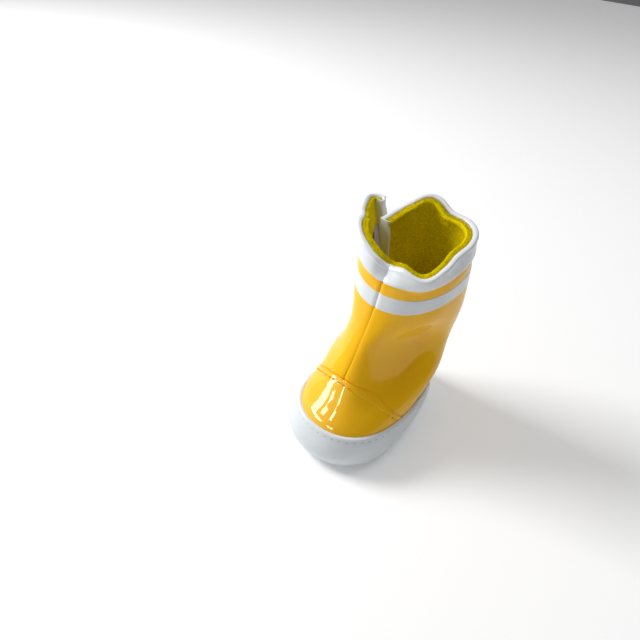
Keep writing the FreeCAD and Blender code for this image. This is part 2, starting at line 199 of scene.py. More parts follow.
# Hollows with a flat floor and a crisp edge: height, angle, mm deep, then the reach in mm above and below,
# and in degrees towards the toe and towards the heel.
HOLLOWS = [
    (41.0, 38.0, 3.8, 14.0, 16.0, 27.0, 62.0),
]


def smooth(share):
    """0 to 1 with no corner at either end."""
    share = np.clip(share, 0.0, 1.0)
    return share * share * (3.0 - 2.0 * share)


def turned(angle, where):
    """Degrees from one place round the boot to another, the short way."""
    return np.mod(angle - where + 180.0, 360.0) - 180.0


def sections():
    """Height, front Y, back Y and half width of the upper at each key section."""
    toe, heel = -mm("foot_length") / 2, mm("foot_length") / 2
    foot, shaft, ankle = mm("foot_width") / 2, mm("shaft_width") / 2, mm("ankle_width") / 2
    front, back = SHAFT_CENTRE - mm("shaft_depth") / 2, SHAFT_CENTRE + mm("shaft_depth") / 2
    rim, narrow, instep = mm("boot_height"), mm("ankle_height"), -21.6
    return np.array([
        (0.0, toe + 2.3, heel - 2.4, foot - 1.4),
        (5.0, toe, heel - 0.6, foot - 0.5),
        (13.0, toe + 1.2, heel, foot),
        (20.0, toe + 4.2, heel, foot - 0.7),
        (0.65 * narrow, (toe + 4.2 + instep) / 2 + 2.0, heel - 0.2, (foot + ankle) / 2 + 0.1),
        (0.84 * narrow, instep + 2.4, heel - 0.2, ankle + 0.5),
        (1.08 * narrow, instep + 7.8, back + 1.3, ankle),
        ((narrow + rim) / 2 + 2.0, front - 3.6, back + 1.0, ankle + 0.6 * (shaft - ankle)),
        (rim, front, back, shaft),
    ])


def profiles():
    """The sections on smooth curves: dense columns of height, front, back and half width."""
    if "profiles" not in CACHE:
        key = sections()
        heights = key[:, 0]
        dense = np.linspace(0.0, heights[-1], 400)
        columns = [dense]
        for column in (1, 2, 3):
            values = key[:, column]
            slopes = np.gradient(values)
            slopes[1:-1] = (values[2:] - values[:-2]) / (heights[2:] - heights[:-2])
            slopes[0] = (values[1] - values[0]) / (heights[1] - heights[0])
            slopes[-1] = (values[-1] - values[-2]) / (heights[-1] - heights[-2])
            i = np.clip(np.searchsorted(heights, dense, side="right") - 1, 0, len(heights) - 2)
            span = heights[i + 1] - heights[i]
            u = (dense - heights[i]) / span
            columns.append(values[i] * (1 + 2 * u) * (1 - u) ** 2 + slopes[i] * span * u * (1 - u) ** 2
                           + values[i + 1] * u * u * (3 - 2 * u) + slopes[i + 1] * span * u * u * (u - 1))
        CACHE["profiles"] = columns
    return CACHE["profiles"]


CACHE = {}


def bare(height, angle):
    """Radius, centre Y and the point of the upper's plain outer surface."""
    dense, front, back, half = profiles()
    turn = np.radians(angle)
    y_front, y_back = np.interp(height, dense, front), np.interp(height, dense, back)
    foot = y_front + FOOT_CENTRE_SHARE * (y_back - y_front)
    narrow = mm("ankle_height")
    centre = foot + smooth((height - 13.0) / (narrow - 13.0)) * (SHAFT_CENTRE - foot)
    reach = np.where(np.cos(turn) > 0, centre - y_front, y_back - centre)
    across = np.abs(np.sin(turn) / np.interp(height, dense, half)) ** FULLNESS
    along = np.abs(np.cos(turn) / reach) ** FULLNESS
    radius = (across + along) ** (-1 / FULLNESS)
    point = np.stack([radius * np.sin(turn), centre - radius * np.cos(turn), height + 0 * radius], axis=-1)
    return radius, centre, point


def slant(height, angle):
    """How far outwards a wall 1 mm thick reaches, where the surface leans."""
    round_it = bare(height, angle + 1.0)[2] - bare(height, angle - 1.0)[2]
    low, high = np.maximum(height - 1.0, 0.0), np.minimum(height + 1.0, mm("boot_height"))
    up_it = bare(high, angle)[2] - bare(low, angle)[2]
    normal = np.cross(round_it, up_it)
    normal /= np.linalg.norm(normal, axis=-1, keepdims=True)
    turn = np.radians(angle)
    return 1.0 / np.abs(normal[..., 0] * np.sin(turn) - normal[..., 1] * np.cos(turn))


def round_curve(points, column, angle):
    """A closed smooth curve through values set at a few angles."""
    angles = np.array([p[0] for p in points], float)
    values = np.array([p[column] for p in points], float)
    angles = np.concatenate([angles[-2:] - 360, angles, angles[:2] + 360])
    values = np.concatenate([values[-2:], values, values[:2]])
    angle = np.mod(angle, 360.0)
    i = np.clip(np.searchsorted(angles, angle, side="right") - 1, 1, len(angles) - 3)
    span = angles[i + 1] - angles[i]
    u = (angle - angles[i]) / span
    slope_a = (values[i + 1] - values[i - 1]) / (angles[i + 1] - angles[i - 1]) * span
    slope_b = (values[i + 2] - values[i]) / (angles[i + 2] - angles[i]) * span
    return (values[i] * (1 + 2 * u) * (1 - u) ** 2 + slope_a * u * (1 - u) ** 2
            + values[i + 1] * u * u * (3 - 2 * u) + slope_b * u * u * (u - 1))


def softness(height, angle, rim_bends):
    """How far the soft boot's wall is bent from its plain shape: mm outwards and mm upwards."""
    rim = mm("boot_height")
    outwards = upwards = 0.0
    for bends, reach in ((rim_bends, RIM_BEND_REACH), (SHAFT_BENDS, SHAFT_BEND_REACH)):
        share = smooth((height - rim + reach) / reach)
        outwards = outwards + share * round_curve(bends, 1, angle)
        upwards = upwards + share * round_curve(bends, 2, angle)
    for tall, where, deep, half_height, half_width in DENTS:
        away = (np.mod(angle, 360.0) - where) / half_width
        level = (height - tall) / half_height
        outwards = outwards - deep * np.exp(-(away ** 2 + level ** 2))
    for tall, where, deep, above, below, ahead, behind in HOLLOWS:
        away = turned(angle, where)
        away = away / np.where(away < 0, ahead, behind)
        level = (height - tall) / np.where(height > tall, above, below)
        outwards = outwards - deep * np.exp(-(away ** 2 + level ** 2) ** 2)
    return outwards, upwards


def tuck(height, angle):
    """How far the wall that goes under the flap lies inside the outer surface."""
    angle = np.mod(angle, 360.0)
    rise = smooth((height - SLIT + TUCK_DROP) / TUCK_DROP)
    around = smooth((angle - TUCK_START) / (FLAP_END - 2.0 - TUCK_START))
    back_out = smooth((angle - UNDERLAP_END - 1.0) / (SIDE_SEAM - UNDERLAP_END - 1.0))
    return UNDERLAP_DEPTH * rise * around * (1.0 - back_out)


def no_tuck(height, angle):
    """The depth of a wall that isn't tucked in anywhere."""
    return 0.0


def surface(height, angle, out=0.0, depth=no_tuck, rim_bends=RIM_BENDS):
    """Points `out` mm outside the upper's outer surface, in mm."""
    height, angle = np.broadcast_arrays(np.asarray(height, float), np.asarray(angle, float))
    rim = mm("boot_height")
    level = np.clip(height, 0.0, rim)
    radius, centre, _ = bare(level, angle)
    outwards, upwards = softness(level, angle, rim_bends)
    reach = radius + (out - depth(level, angle) + outwards) * slant(level, angle)
    turn = np.radians(angle)
    y = centre - reach * np.cos(turn)
    narrow = 0.8 * mm("ankle_height")
    slope = mm("rim_rise") / mm("shaft_depth") * smooth((level - narrow) / (rim - narrow))
    z = height + upwards + slope * (y - SHAFT_CENTRE)
    return np.stack([reach * np.sin(turn), y, z], axis=-1)


CAP_LINE = (CAP_TOP - CAP_SIDE) / np.linalg.norm(CAP_TOP - CAP_SIDE)
CAP_FORWARD = np.array([0.0, -CAP_LINE[2], CAP_LINE[1]])


def cap_ahead(points):
    """Distance in front of the toe cap's seam plane."""
    return (points - CAP_SIDE) @ CAP_FORWARD


def cap_height(angle, forward=0.0):
    """Height at which the upper's surface meets the toe cap's plane, moved forward by a distance."""
    angle = np.asarray(angle, float)
    low, high = np.zeros_like(angle), np.full_like(angle, mm("ankle_height"))
    for _ in range(30):
        middle = (low + high) / 2
        ahead = cap_ahead(bare(middle, angle)[2]) - forward > 0
        low, high = np.where(ahead, middle, low), np.where(ahead, high, middle)
    return low


SIDE_SEAM_VALLEY = (0.35, 0.7, 0.05)      # depth, width and shoulder of the side seam's valley


def seam_valley(points, angle, where, depth=0.45, width=0.7, shoulder=0.05):
    """A turned seam: a narrow valley with a soft shoulder on each side, in mm outwards."""
    reach = np.hypot(points[..., 0], points[..., 1] - SHAFT_CENTRE)
    apart = np.radians(turned(angle, where)) * reach
    return -depth * np.exp(-(apart / width) ** 2) + shoulder * np.exp(-((np.abs(apart) - 1.9) / 0.9) ** 2)


# Mesh helpers ---------------------------------------------------------------------------------

def select_only(*objects):
    """Selects these objects and nothing else; the first is the active one."""
    bpy.ops.object.select_all(action="DESELECT")
    for item in objects:
        item.select_set(True)
    bpy.context.view_layer.objects.active = objects[0]


def add_grid(name, columns, rows):
    """A grid primitive with that many points each way; returns it with each point's column and row."""
    bpy.ops.object.select_all(action="DESELECT")
    bpy.ops.mesh.primitive_grid_add(x_subdivisions=columns - 1, y_subdivisions=rows - 1, size=1.0)
    piece = bpy.context.active_object
    piece.name = name
    flat = np.empty(len(piece.data.vertices) * 3)
    piece.data.vertices.foreach_get("co", flat)
    flat = flat.reshape(-1, 3)
    column = np.rint((flat[:, 0] + 0.5) * (columns - 1)).astype(int)
    row = np.rint((flat[:, 1] + 0.5) * (rows - 1)).astype(int)
    return piece, column, row


def set_points(piece, points):
    """Moves the piece's points to places in millimetres."""
    piece.data.vertices.foreach_set("co", (np.asarray(points) * MM).reshape(-1))
    piece.data.update()


def apply_modifier(piece, kind, **settings):
    """Adds a modifier and applies it."""
    select_only(piece)
    modifier = piece.modifiers.new(kind.title(), kind)
    for key, value in settings.items():
        setattr(modifier, key, value)
    bpy.ops.object.modifier_apply(modifier=modifier.name)


def edit_mesh(piece, work):
    """Runs a function on the piece's mesh as a bmesh."""
    mesh = bmesh.new()
    mesh.from_mesh(piece.data)
    work(mesh)
    mesh.to_mesh(piece.data)
    mesh.free()
    piece.data.update()


def join_ends(mesh):
    """Joins points that lie in the same place."""
    bmesh.ops.remove_doubles(mesh, verts=mesh.verts, dist=0.00001)


def close_ends(mesh):
    """Joins the section's two ends and fills the open holes."""
    join_ends(mesh)
    edges = [edge for edge in mesh.edges if edge.is_boundary]
    bmesh.ops.holes_fill(mesh, edges=edges, sides=0)


def finish_piece(piece, material, body, slot, *nodes, angle=35.0):
    """Smooth shading, a material, the body that it rides on and the nodes that it stands for."""
    select_only(piece)
    bpy.ops.object.shade_smooth_by_angle(angle=math.radians(angle))
    piece.data.materials.clear()
    piece.data.materials.append(material)
    if body:
        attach(piece, body)
    if nodes:
        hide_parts(*nodes)
    return piece


def wall(name, angles, heights, place, thickness):
    """A curved sheet with a thickness: place(height, angle) gives the outer face."""
    piece, column, row = add_grid(name, len(angles), len(heights))
    set_points(piece, place(heights[row], angles[column]))
    apply_modifier(piece, "SOLIDIFY", thickness=thickness * MM, offset=-1.0, use_even_offset=True)
    return piece


def band(name, angles, profile, place, closed=False):
    """A strip whose section is a closed list of (height, out), carried round the boot."""
    section = np.array(profile + profile[:1], float)
    piece, column, row = add_grid(name, len(angles), len(section))
    set_points(piece, place(section[row, 0], angles[column], section[row, 1]))
    edit_mesh(piece, join_ends if closed else close_ends)
    return piece


def steps(start, end, spacing):
    """Even values from start to end, no further apart than the spacing."""
    return np.linspace(start, end, max(2, int(math.ceil(abs(end - start) / spacing)) + 1))


# Materials ------------------------------------------------------------------------------------

def add_node(tree, kind, inputs=None, **settings):
    """Adds a node, sets its settings, and sets or links its inputs."""
    node = tree.nodes.new(kind)
    for key, value in settings.items():
        setattr(node, key, value)
    for key, value in (inputs or {}).items():
        if isinstance(value, bpy.types.NodeSocket):
            tree.links.new(value, node.inputs[key])
        else:
            node.inputs[key].default_value = value
    return node


def noise_scale(lump_mm):
    """Scale of a noise or cell pattern whose lumps are about that many millimetres across."""
    return 1.0 / (lump_mm * MM)


def glossy_pvc(tree, place):
    """PVC-coated fabric, patent finish: deep yellow, with sharp reflections and a faint orange peel."""
    tone = add_node(tree, "ShaderNodeTexNoise", {"Vector": place, "Scale": noise_scale(14.0)})
    peel = add_node(tree, "ShaderNodeTexNoise", {"Vector": place, "Scale": noise_scale(1.3)})
    mix = add_node(tree, "ShaderNodeMix", {
        "Factor": tone.outputs["Fac"], "A": paint("upper"), "B": paint("upper_deep"),
    }, data_type="RGBA")
    bump = add_node(tree, "ShaderNodeBump", {"Height": peel.outputs["Fac"], "Distance": 0.012 * MM})
    return add_node(tree, "ShaderNodeBsdfPrincipled", {
        "Base Color": mix.outputs["Result"], "Normal": bump.outputs["Normal"],
        "Roughness": 0.5, "Specular IOR Level": 0.1,
        "Coat Weight": 0.6, "Coat Roughness": 0.02, "Coat IOR": 1.5,
    })


def white_pvc(tree, place, tone_name, roughness):
    """White coated fabric: cool white with a soft sheen and a fine grain."""
    tone = add_node(tree, "ShaderNodeTexNoise", {"Vector": place, "Scale": noise_scale(9.0)})
    grain = add_node(tree, "ShaderNodeTexNoise", {"Vector": place, "Scale": noise_scale(0.5)})
    base = paint(tone_name)
    mix = add_node(tree, "ShaderNodeMix", {
        "Factor": tone.outputs["Fac"], "A": base, "B": darker(base, 0.95),
    }, data_type="RGBA")
    bump = add_node(tree, "ShaderNodeBump", {"Height": grain.outputs["Fac"], "Distance": 0.015 * MM})
    return add_node(tree, "ShaderNodeBsdfPrincipled", {
        "Base Color": mix.outputs["Result"], "Normal": bump.outputs["Normal"],
        "Roughness": roughness, "IOR": 1.5, "Coat Weight": 0.25, "Coat Roughness": 0.2,
    })


def brushed_fleece(tree, place):
    """Brushed polyester fleece: matt, with a soft sheen at grazing angles and tufts under 1 mm, and painted
    shade in the hollows between the tufts.
    """
    tufts = add_node(tree, "ShaderNodeTexNoise", {
        "Vector": place, "Scale": noise_scale(0.7), "Detail": 4.0, "Roughness": 0.65,
    })
    shade = add_node(tree, "ShaderNodeMapRange", {
        "Value": tufts.outputs["Fac"], "From Min": 0.3, "From Max": 0.65,
    })
    # Painted shade: the low spots of the pile, between the tufts, take the darker root colour.
    mix = add_node(tree, "ShaderNodeMix", {
        "Factor": shade.outputs["Result"], "A": paint("fleece_root_shade"), "B": paint("fleece"),
    }, data_type="RGBA")
    bump = add_node(tree, "ShaderNodeBump", {"Height": tufts.outputs["Fac"], "Distance": 0.35 * MM})
    return add_node(tree, "ShaderNodeBsdfPrincipled", {
        "Base Color": mix.outputs["Result"], "Normal": bump.outputs["Normal"],
        "Roughness": 1.0, "Specular IOR Level": 0.1,
        "Sheen Weight": 0.35, "Sheen Roughness": 0.5, "Sheen Tint": paint("fleece"),
    })


def twisted_thread(tree, place, tone_name):
    """Polyester sewing thread: a slight lustre and uneven plies, drawn 0.2 mm apart."""
    plies = add_node(tree, "ShaderNodeTexNoise", {
        "Vector": place, "Scale": noise_scale(0.2), "Detail": 1.0,
    })
    base = paint(tone_name)
    mix = add_node(tree, "ShaderNodeMix", {
        "Factor": plies.outputs["Fac"], "A": base, "B": darker(base, 0.7),
    }, data_type="RGBA")
    bump = add_node(tree, "ShaderNodeBump", {"Height": plies.outputs["Fac"], "Distance": 0.05 * MM})
    return add_node(tree, "ShaderNodeBsdfPrincipled", {
        "Base Color": mix.outputs["Result"], "Normal": bump.outputs["Normal"], "Roughness": 0.5,
    })


def woven_tape(tree, place):
    """Nylon hook-and-loop tape: dull, with a dense nap drawn 0.5 mm coarse."""
    nap = add_node(tree, "ShaderNodeTexNoise", {
        "Vector": place, "Scale": noise_scale(0.5), "Detail": 3.0,
    })
    base = paint("tape")
    mix = add_node(tree, "ShaderNodeMix", {
        "Factor": nap.outputs["Fac"], "A": darker(base, 0.6), "B": base,
    }, data_type="RGBA")
    bump = add_node(tree, "ShaderNodeBump", {"Height": nap.outputs["Fac"], "Distance": 0.3 * MM})
    return add_node(tree, "ShaderNodeBsdfPrincipled", {
        "Base Color": mix.outputs["Result"], "Normal": bump.outputs["Normal"],
        "Roughness": 0.8, "Sheen Weight": 0.2,
    })


def grained_rubber(tree, place):
    """Moulded rubber of the sole: matt white with a pebbled grain."""
    pebble = add_node(tree, "ShaderNodeTexVoronoi", {"Vector": place, "Scale": noise_scale(1.2)})
    base = paint("foxing")
    mix = add_node(tree, "ShaderNodeMix", {
        "Factor": pebble.outputs["Distance"], "A": darker(base, 0.85), "B": base,
    }, data_type="RGBA")
    bump = add_node(tree, "ShaderNodeBump", {"Height": pebble.outputs["Distance"], "Distance": 0.2 * MM})
    return add_node(tree, "ShaderNodeBsdfPrincipled", {
        "Base Color": mix.outputs["Result"], "Normal": bump.outputs["Normal"], "Roughness": 0.6,
    })


def fibre_board(tree, place):
    """Pressed fibre board: pale brown, matt and mottled."""
    mottle = add_node(tree, "ShaderNodeTexNoise", {
        "Vector": place, "Scale": noise_scale(1.0), "Detail": 4.0,
    })
    mix = add_node(tree, "ShaderNodeMix", {
        "Factor": mottle.outputs["Fac"], "A": paint("board"), "B": paint("board_dark"),
    }, data_type="RGBA")
    bump = add_node(tree, "ShaderNodeBump", {"Height": mottle.outputs["Fac"], "Distance": 0.1 * MM})
    return add_node(tree, "ShaderNodeBsdfPrincipled", {
        "Base Color": mix.outputs["Result"], "Normal": bump.outputs["Normal"], "Roughness": 0.9,
    })


def studio_paper(tree, place):
    """Seamless studio paper: flat white, with a faint glow so that it stays pale."""
    fibre = add_node(tree, "ShaderNodeTexNoise", {"Vector": place, "Scale": noise_scale(2.0)})
    mix = add_node(tree, "ShaderNodeMix", {
        "Factor": fibre.outputs["Fac"], "A": paint("floor"), "B": darker(paint("floor"), 0.98),
    }, data_type="RGBA")
    return add_node(tree, "ShaderNodeBsdfPrincipled", {
        "Base Color": mix.outputs["Result"], "Roughness": 0.9,
        "Emission Color": (1.0, 1.0, 1.0, 1.0), "Emission Strength": 0.12,
    })


def studio_world():
    """A room that is bright on the side of the key light and dim on the other side."""
    world = bpy.data.worlds.new("studio_world")
    world.use_nodes = True
    tree = world.node_tree
    tree.nodes.clear()
    place = add_node(tree, "ShaderNodeTexCoord")
    side = add_node(tree, "ShaderNodeVectorMath", {
        0: place.outputs["Generated"], 1: (-0.75, -0.55, 0.35),
    }, operation="DOT_PRODUCT")
    share = add_node(tree, "ShaderNodeMapRange", {
        "Value": side.outputs["Value"], "From Min": -0.5, "From Max": 0.9,
    })
    mix = add_node(tree, "ShaderNodeMix", {
        "Factor": share.outputs["Result"], "A": (0.08, 0.08, 0.085, 1.0), "B": (0.40, 0.40, 0.40, 1.0),
    }, data_type="RGBA")
    light = add_node(tree, "ShaderNodeBackground", {"Color": mix.outputs["Result"], "Strength": 1.0})
    add_node(tree, "ShaderNodeOutputWorld", {"Surface": light.outputs[0]})
    return world


# Each finish: the material's name, the function that adds its nodes and what that function needs.
MATERIALS = {
    "upper": ("glossy_pvc_yellow", glossy_pvc),
    "trim": ("coated_fabric_white", white_pvc, "trim", 0.35),
    "foxing": ("foxing_rubber_white", white_pvc, "foxing", 0.42),
    "fleece": ("brushed_fleece", brushed_fleece),
    "orange_thread": ("thread_orange", twisted_thread, "orange_thread"),
    "white_thread": ("thread_white", twisted_thread, "white_thread"),
    "tape": ("hook_and_loop_tape", woven_tape),
    "sole": ("grained_rubber", grained_rubber),
    "board": ("fibre_board", fibre_board),
    "paper": ("studio_paper", studio_paper),
}


def finish(name):
    """The material of a finish, made the first time that it is asked for."""
    if name not in CACHE:
        title, add_finish, *needs = MATERIALS[name]
        material = bpy.data.materials.new(title)
        material.use_nodes = True
        tree = material.node_tree
        tree.nodes.clear()
        place = add_node(tree, "ShaderNodeTexCoord").outputs["Object"]
        shader = add_finish(tree, place, *needs)
        add_node(tree, "ShaderNodeOutputMaterial", {"Surface": shader.outputs["BSDF"]})
        CACHE[name] = material
    return CACHE[name]


# Pieces ---------------------------------------------------------------------------------------

GLUE = 0.05
HALF_SEAM = 0.12          # degrees from a seam to a panel's edge


def upper_face(height, angle, depth=no_tuck, extra=0.0):
    """The quarters' outer face, with the valleys of the front seam and the side seam."""
    points = surface(height, angle, 0.0, depth)
    stripe_low = mm("boot_height") - mm("stripe_drop") - mm("stripe_height")
    depth_here = 0.16 + 0.32 * smooth((height - stripe_low + 1.5) / 1.5)
    out = seam_valley(points, angle, 0.0, depth_here, 0.6, 0.03)
    out = out + seam_valley(points, angle, SIDE_SEAM, *SIDE_SEAM_VALLEY)
    ahead = cap_ahead(surface(height, angle))
    out = out - 0.6 * smooth((ahead + 0.6) / 1.0)
    return surface(height, angle, out + extra, depth)


def quarter_points(heights, angles, column, row, depth):
    """Each column runs from the toe cap's seam, or from inside the foxing, up to the rim."""
    rim = mm("boot_height")
    floor = np.maximum(cap_height(angles, 1.0), 4.0)[column]
    share = heights[row]
    height = floor + share * (rim - floor)
    return upper_face(height, angles[column], depth)


def make_quarter(name, angles, depth, notch):
    """A quarter of the upper; the notch is where the flap's slit cuts it away."""
    shares = np.linspace(0.0, 1.0, 80)
    piece, column, row = add_grid(name, len(angles), len(shares))
    points = quarter_points(shares, angles, column, row, depth)
    set_points(piece, points)
    if notch:
        def cut_slit(mesh):
            mesh.verts.ensure_lookup_table()
            gone = []
            for face in mesh.faces:
                middle = [vert.index for vert in face.verts]
                turn = np.mean(angles[column[middle]])
                if turn > UNDERLAP_END and face.calc_center_median().z > SLIT * MM:
                    gone.append(face)
            bmesh.ops.delete(mesh, geom=gone, context="FACES")
        edit_mesh(piece, cut_slit)
    apply_modifier(piece, "SOLIDIFY", thickness=mm("upper_thickness") * MM, offset=-1.0, use_even_offset=True)
    apply_modifier(piece, "BEVEL", width=0.18 * MM, segments=2, limit_method="ANGLE", angle_limit=1.0)
    return finish_piece(piece, finish("upper"), "boot", "yellow_upper", name)


class BootQuarters(bpy.types.Operator):
    """Make the two quarters of the upper"""
    bl_idname = "boot.quarters"
    bl_label = "Quarters"

    def execute(self, context):
        make_quarter("inner_quarter", steps(SIDE_SEAM - 360, -HALF_SEAM, 1.5), no_tuck, False)
        to_underlap = steps(HALF_SEAM, UNDERLAP_END, 1.5)
        to_seam = steps(UNDERLAP_END, SIDE_SEAM - HALF_SEAM, 1.5)
        angles = np.concatenate([to_underlap, to_seam[1:]])
        make_quarter("outer_quarter", angles, tuck, True)
        return {"FINISHED"}


class BootToeCap(bpy.types.Operator):
    """Make the toe cap with its folded, stitched edge"""
    bl_idname = "boot.toe_cap"
    bl_label = "Toe cap"

    def execute(self, context):
        angles = steps(-98.0, 98.0, 1.25)
        shares = np.concatenate([np.linspace(0.0, 0.78, 30), np.linspace(0.78, 1.0, 34)[1:]])
        piece, column, row = add_grid("toe_cap", len(angles), len(shares))
        top = np.maximum(cap_height(angles), 4.5)[column]
        height = 4.0 + shares[row] * (top - 4.0)
        ahead = cap_ahead(surface(height, angles[column]))
        fold = 0.3 * (1.0 - smooth((ahead - 1.3) / 0.7)) - 0.1 * np.exp(-((ahead - 1.9) / 0.35) ** 2)
        set_points(piece, surface(height, angles[column], fold))
        apply_modifier(piece, "SOLIDIFY", thickness=1.3 * MM, offset=-1.0, use_even_offset=True)
        apply_modifier(piece, "BEVEL", width=0.25 * MM, segments=3, limit_method="ANGLE", angle_limit=1.0)
        finish_piece(piece, finish("upper"), "boot", "yellow_upper", "toe_cap")
        bpy.data.collections["reflects_the_window"].objects.link(piece)
        return {"FINISHED"}


class BootFoxing(bpy.types.Operator):
    """Make the foxing strip, rolled under at the ground"""
    bl_idname = "boot.foxing"
    bl_label = "Foxing"

    def execute(self, context):
        top, thick = mm("foxing_height"), mm("foxing_thickness")
        angles = steps(0.0, 360.0, 0.75)
        section = [(0.45, -2.6), (0.25, -1.6), (0.3, -0.6), (0.7, 0.25), (1.4, 0.85), (2.4, thick)]
        section += [(level, thick + GLUE) for level in np.linspace(3.6, top - 0.9, 24)]
        section += [(top - 0.45, thick), (top - 0.12, thick - 0.3), (top, thick - 0.7), (top - 0.1, GLUE)]
        section += [(level, GLUE) for level in np.linspace(top - 1.5, 3.0, 8)] + [(1.6, -1.2), (1.0, -2.6)]

        def place(height, angle, out):
            shown = out > 0.5
            row = np.exp(-((height - top + 1.5) / 0.5) ** 2)
            inner_toe = np.exp(-(turned(angle, 325.0) / 35.0) ** 2)
            belly = (0.9 + 1.0 * inner_toe) * np.sin(np.pi * np.clip(height / top, 0.0, 1.0)) ** 2
            return surface(height, angle, out + shown * (belly - 0.16 * row))

        piece = band("foxing", angles, section, place, closed=True)
        finish_piece(piece, finish("foxing"), "boot", "white_rubber", "foxing")
        return {"FINISHED"}


class BootSole(bpy.types.Operator):
    """Finish the outsole and the insole board, and make the padded footbed"""
    bl_idname = "boot.sole"
    bl_label = "Sole"

    def execute(self, context):
        for name, material in (("outsole", "sole"), ("insole_board", "board")):
            node = frame["nodes"][name]
            node.data.materials.clear()
            node.data.materials.append(finish(material))
        low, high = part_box("footbed")
        base, top = low.z / MM, high.z / MM
        angles = steps(0.0, 360.0, 3.0)
        crown = np.linspace(0.02, 0.9, 22)
        shares = np.concatenate([crown, [0.95, 0.985, 1.0, 0.99, 0.95, 0.02]])
        rise = np.concatenate([0.55 * (1 - crown ** 2), [0.0, -0.35, -1.0, -1.8, -2.1, -2.1]])
        piece, column, row = add_grid("footbed", len(angles), len(shares))
        edge = surface(4.0, angles[column], -3.6)
        points = edge * shares[row][:, None]
        points[:, 2] = np.clip(top - 0.3 + rise[row], base + 0.05, top + 0.4)
        set_points(piece, points)
        edit_mesh(piece, close_ends)
        finish_piece(piece, finish("fleece"), "boot", "fleece", "footbed")
        return {"FINISHED"}


def fleece_face(height, angle, out, depth):
    """A fleece surface, lumpy by a tenth of a millimetre or two."""
    points = surface(height, angle, out, depth)
    lumps = np.array([noise.noise(Vector(p) * 0.9) for p in points.reshape(-1, 3)]).reshape(height.shape)
    return surface(height, angle, out + 0.28 * lumps, depth)


class BootLining(bpy.types.Operator):
    """Make the fleece lining of the foot and of the shaft"""
    bl_idname = "boot.lining"
    bl_label = "Lining"

    def execute(self, context):
        rim = mm("boot_height")
        outer = -mm("upper_thickness") - GLUE
        inner = outer - mm("lining_thickness")
        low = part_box("lining_foot")[0].z / MM
        section = [(level, outer) for level in np.linspace(low, SLIT - 0.1, 14)]
        section += [(level, inner) for level in np.linspace(SLIT - 0.1, low, 22)]
        piece = band("lining_foot", steps(0.0, 360.0, 2.0), section,
                     lambda height, angle, out: fleece_face(height, angle, out, tuck), closed=True)
        finish_piece(piece, finish("fleece"), "boot", "fleece", "lining_foot")

        section = [(level, outer) for level in np.linspace(SLIT, rim - 1.2, 24)]
        section += [
            (rim - 0.5, outer - 0.45), (rim + 0.1, outer - 0.75), (rim + 0.35, (outer + inner) / 2 - 0.5),
            (rim + 0.2, inner - 0.45), (rim - 0.4, inner - 0.75), (rim - 1.2, inner - 0.6),
        ]
        section += [(level, inner) for level in np.linspace(rim - 2.2, SLIT, 60)]

        def place(height, angle, out):
            hidden = np.where(np.mod(angle, 360.0) > UNDERLAP_END + 0.01, 0.0, 1.0)
            return fleece_face(height, angle, out, lambda h, a: tuck(h, a) * hidden)

        piece = band("lining_shaft", steps(SIDE_SEAM - 360, UNDERLAP_END, 1.2), section, place)
        finish_piece(piece, finish("fleece"), "boot", "fleece", "lining_shaft", angle=60.0)
        return {"FINISHED"}


def binding_section():
    """The folded strip: up the outside, over the panel's edge and back down."""
    rim, drop = mm("boot_height"), mm("binding_height")
    section = [(rim - drop, 0.08), (rim - drop + 0.1, 0.4), (rim - drop + 0.45, 0.6)]
    section += [(level, 0.72) for level in np.linspace(rim - drop + 1.2, rim - 1.6, 9)]
    roll = np.linspace(-0.5, math.pi, 12)
    section += [(rim + 0.75 * math.sin(turn) + 0.1, -0.35 + 1.15 * math.cos(turn)) for turn in roll]
    section += [(rim - 0.5, -1.45), (rim - 0.9, -1.14), (rim + 0.05, -1.0), (rim + 0.05, GLUE)]
    section += [(level, GLUE) for level in np.linspace(rim - 1.2, rim - drop + 1.2, 4)]
    return section


def valley_band(name, angles, section, depth):
    """A strip on the shaft that dips into the front seam."""
    def place(height, angle, out):
        points = surface(height, angle, out, depth)
        dip = seam_valley(points, angle, 0.0) + seam_valley(points, angle, SIDE_SEAM, *SIDE_SEAM_VALLEY)
        return surface(height, angle, out + dip, depth)
    return band(name, angles, section, place)


class BootRim(bpy.types.Operator):
    """Make the rim bindings and the stripes of the two quarters"""
    bl_idname = "boot.rim"
    bl_label = "Bindings and stripes"

    def execute(self, context):
        inner = steps(SIDE_SEAM - 360, -HALF_SEAM, 1.2)
        outer = steps(HALF_SEAM, UNDERLAP_END, 1.2)
        for name, angles, depth in (("binding_inner", inner, no_tuck), ("binding_outer", outer, tuck)):
            piece = valley_band(name, angles, binding_section(), depth)
            finish_piece(piece, finish("trim"), "boot", "white_trim", name)
        turned_in = [(UNDERLAP_END + ahead, out) for ahead, out in (
            (-2.5, -3.5), (-2.5, -3.75), (0.6, -3.75), (1.6, -3.2), (2.0, -1.8), (1.6, 0.1), (0.6, 0.5),
            (-5.0, 0.5), (-5.0, 0.1), (-0.2, 0.1), (-0.2, -3.4),
        )]

        def full_tuck(height, angle):
            return tuck(height, np.minimum(np.mod(angle, 360.0), UNDERLAP_END))

        levels = np.linspace(SLIT + 1.5, mm("boot_height") + 0.6, 60)
        piece = band("underlap_edge", levels, turned_in,
                     lambda angle, level, out: surface(level, angle, out, full_tuck))
        finish_piece(piece, finish("trim"), "boot", "white_trim", "binding_outer")
        outer = steps(HALF_SEAM, FLAP_END + 2.0, 1.2)
        for name, angles, depth in (("stripe_inner", inner, no_tuck), ("stripe_outer", outer, tuck)):
            piece = valley_band(name, angles, stripe_section(), depth)
            finish_piece(piece, finish("trim"), "boot", "white_trim", name)
        return {"FINISHED"}


